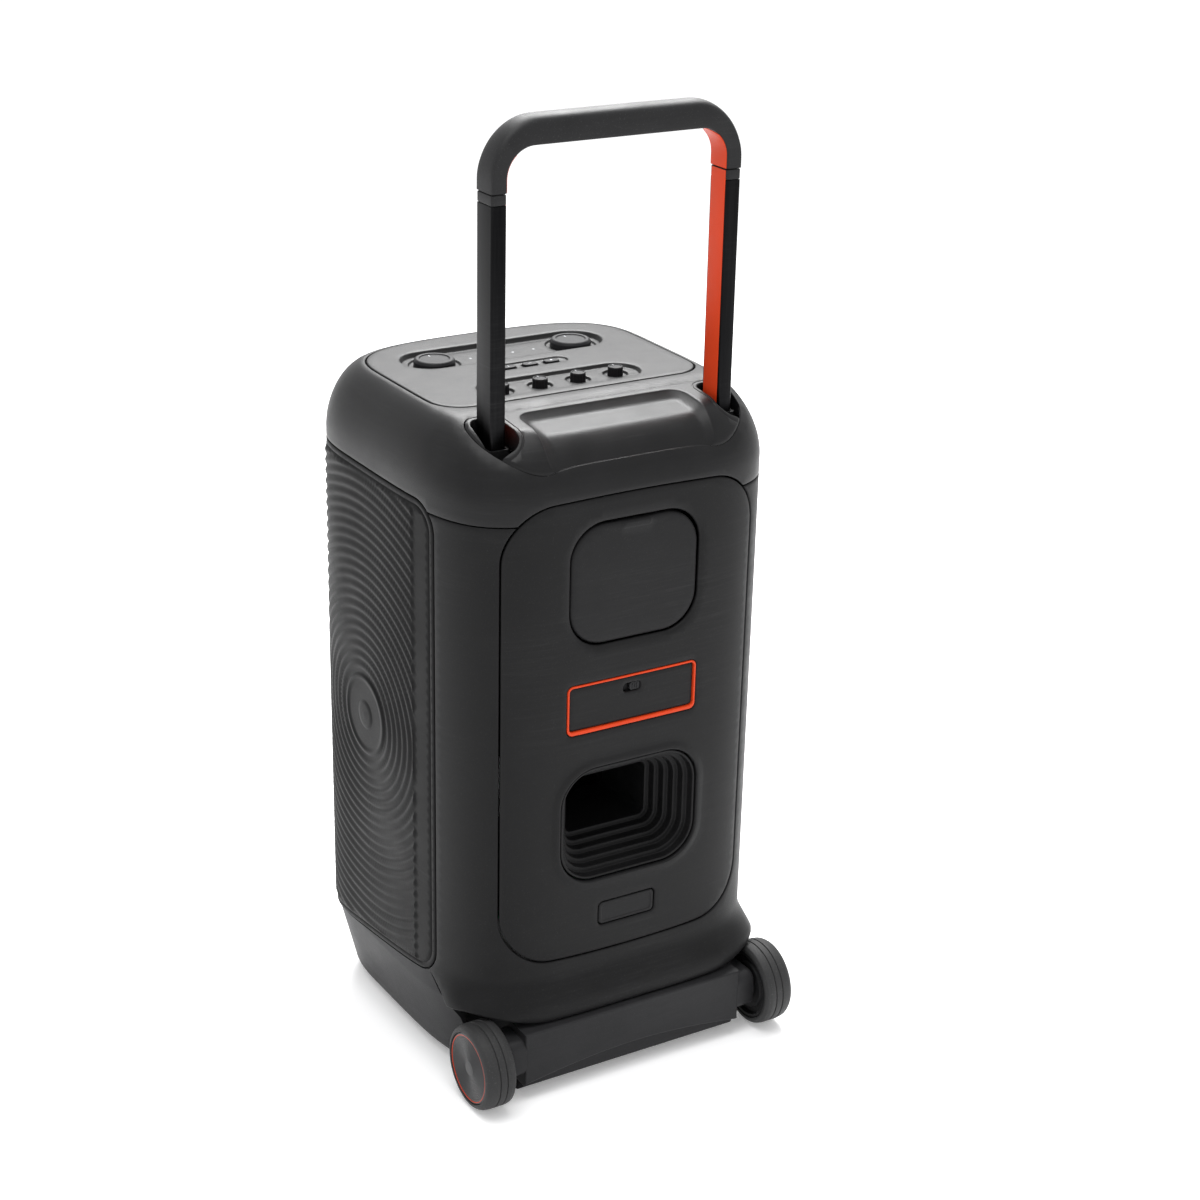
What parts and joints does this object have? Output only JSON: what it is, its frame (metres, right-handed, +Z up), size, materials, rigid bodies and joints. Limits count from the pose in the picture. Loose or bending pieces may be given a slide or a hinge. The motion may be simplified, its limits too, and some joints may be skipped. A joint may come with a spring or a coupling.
{
  "type": "party speaker",
  "caption": "Upright battery party speaker with a telescopic pull handle, rear wheels, top controls, ridged side panels, rear bass port, doors and battery slot.",
  "frame": {"origin": "on the floor, under the middle of the speaker's bounding box", "axes": "+Z up along the handle; -Y is the front with the grille, +Y the back with the wheels; +X is the left side seen from behind"},
  "size_m": [0.333, 0.3716, 0.8748],
  "materials": {
    "shell": "fine-grained matt black moulding",
    "cap": "satin charcoal, finely grained",
    "side_rubber": "matt black, ridged",
    "base": "matt dark grey moulding",
    "foot_rubber": "matt rubber",
    "baffle_wood": "plain fibreboard",
    "grille": "powder coated perforated steel",
    "diffuser": "milky light diffuser",
    "driver_frame": "matt black",
    "cone": "pressed fibre cone",
    "magnet": "plain steel",
    "door_rubber": "soft matt black",
    "orange_trim": "satin orange",
    "battery_case": "matt black",
    "inner_plastic": "plain black moulding",
    "circuit": "green board",
    "tube": "black anodised",
    "grip": "soft-touch charcoal",
    "knob": "satin charcoal",
    "key": "satin charcoal",
    "axle": "turned steel",
    "wheel": "matt black",
    "tyre": "matt rubber",
    "hub_cap": "ribbed dark grey"
  },
  "bodies": {
    "cabinet": {"body_shell": "shell", "top_cap": "cap", "control_panel": "cap", "handle_plate": "cap", "back_panel": "shell", "side_panel_left": "side_rubber", "side_panel_right": "side_rubber", "base_tray": "base", "axle_block": "base", "foot_rail": "foot_rubber", "front_foot_left": "foot_rubber", "front_foot_right": "foot_rubber", "front_baffle": "baffle_wood", "front_grille": "grille", "light_ring_upper": "diffuser", "light_ring_lower": "diffuser", "woofer_frame_upper": "driver_frame", "woofer_cone_upper": "cone", "woofer_magnet_upper": "magnet", "woofer_frame_lower": "driver_frame", "woofer_cone_lower": "cone", "woofer_magnet_lower": "magnet", "tweeter_left": "driver_frame", "tweeter_right": "driver_frame", "bass_port": "shell", "io_panel": "shell", "battery_frame": "orange_trim", "battery_bay": "inner_plastic", "power_inlet": "inner_plastic", "amplifier_board": "circuit", "power_supply": "circuit", "control_board": "circuit", "guide_sleeve_left": "inner_plastic", "guide_sleeve_right": "inner_plastic", "axle_rod": "axle"},
    "handle": {"handle_tube_left": "tube", "handle_tube_right": "tube", "handle_grip": "grip", "tube_trim_left": "orange_trim", "tube_trim_right": "orange_trim"},
    "wheel_left": {"wheel_left": "wheel", "tyre_left": "tyre", "hub_cap_left": "hub_cap"},
    "wheel_right": {"wheel_right": "wheel", "tyre_right": "tyre", "hub_cap_right": "hub_cap"},
    "dial_left": {"dial_left": "knob"},
    "dial_right": {"dial_right": "knob"},
    "mix_knob_1": {"mix_knob_1": "knob"},
    "mix_knob_2": {"mix_knob_2": "knob"},
    "mix_knob_3": {"mix_knob_3": "knob"},
    "mix_knob_4": {"mix_knob_4": "knob"},
    "key_1": {"key_1": "key"},
    "key_2": {"key_2": "key"},
    "key_3": {"key_3": "key"},
    "io_door": {"io_door": "door_rubber"},
    "inlet_door": {"inlet_door": "door_rubber"},
    "battery": {"battery_door": "shell", "battery_pack": "battery_case"},
    "battery_latch": {"battery_latch": "base"}
  },
  "joints": [
    {"name": "handle_slide", "type": "slide", "parent": "cabinet", "child": "handle", "axis": [0, 0, 1], "range_m": [-0.205, 0]},
    {"name": "wheel_left_spin", "type": "hinge", "parent": "cabinet", "child": "wheel_left", "pos_m": [0.149, 0.1463, 0.0398], "axis": [1, 0, 0], "continuous": true},
    {"name": "wheel_right_spin", "type": "hinge", "parent": "cabinet", "child": "wheel_right", "pos_m": [-0.149, 0.1463, 0.0398], "axis": [1, 0, 0], "continuous": true},
    {"name": "dial_left_turn", "type": "hinge", "parent": "cabinet", "child": "dial_left", "pos_m": [0.0708, -0.0905, 0.615], "axis": [0, 0, 1], "continuous": true},
    {"name": "dial_right_turn", "type": "hinge", "parent": "cabinet", "child": "dial_right", "pos_m": [-0.0708, -0.0905, 0.615], "axis": [0, 0, 1], "continuous": true},
    {"name": "mix_knob_1_turn", "type": "hinge", "parent": "cabinet", "child": "mix_knob_1", "pos_m": [-0.0579, 0.01, 0.618], "axis": [0, 0, 1], "range_deg": [-140, 140]},
    {"name": "mix_knob_2_turn", "type": "hinge", "parent": "cabinet", "child": "mix_knob_2", "pos_m": [-0.0193, 0.01, 0.618], "axis": [0, 0, 1], "range_deg": [-140, 140]},
    {"name": "mix_knob_3_turn", "type": "hinge", "parent": "cabinet", "child": "mix_knob_3", "pos_m": [0.0193, 0.01, 0.618], "axis": [0, 0, 1], "range_deg": [-140, 140]},
    {"name": "mix_knob_4_turn", "type": "hinge", "parent": "cabinet", "child": "mix_knob_4", "pos_m": [0.0579, 0.01, 0.618], "axis": [0, 0, 1], "range_deg": [-140, 140]},
    {"name": "key_1_press", "type": "slide", "parent": "cabinet", "child": "key_1", "axis": [0, 0, -1], "range_m": [0, 0.001], "stiffness_N_per_m": 600},
    {"name": "key_2_press", "type": "slide", "parent": "cabinet", "child": "key_2", "axis": [0, 0, -1], "range_m": [0, 0.001], "stiffness_N_per_m": 600},
    {"name": "key_3_press", "type": "slide", "parent": "cabinet", "child": "key_3", "axis": [0, 0, -1], "range_m": [0, 0.001], "stiffness_N_per_m": 600},
    {"name": "io_door_swing", "type": "hinge", "parent": "cabinet", "child": "io_door", "pos_m": [0, 0.1452, 0.4252], "axis": [-1, 0, 0], "range_deg": [0, 90]},
    {"name": "inlet_door_swing", "type": "hinge", "parent": "cabinet", "child": "inlet_door", "pos_m": [0, 0.1444, 0.1478], "axis": [-1, 0, 0], "range_deg": [0, 90]},
    {"name": "battery_pull", "type": "slide", "parent": "cabinet", "child": "battery", "axis": [0, 1, 0], "range_m": [0, 0.155]},
    {"name": "battery_latch_slide", "type": "slide", "parent": "battery", "child": "battery_latch", "axis": [1, 0, 0], "range_m": [0, 0.0066]}
  ]
}
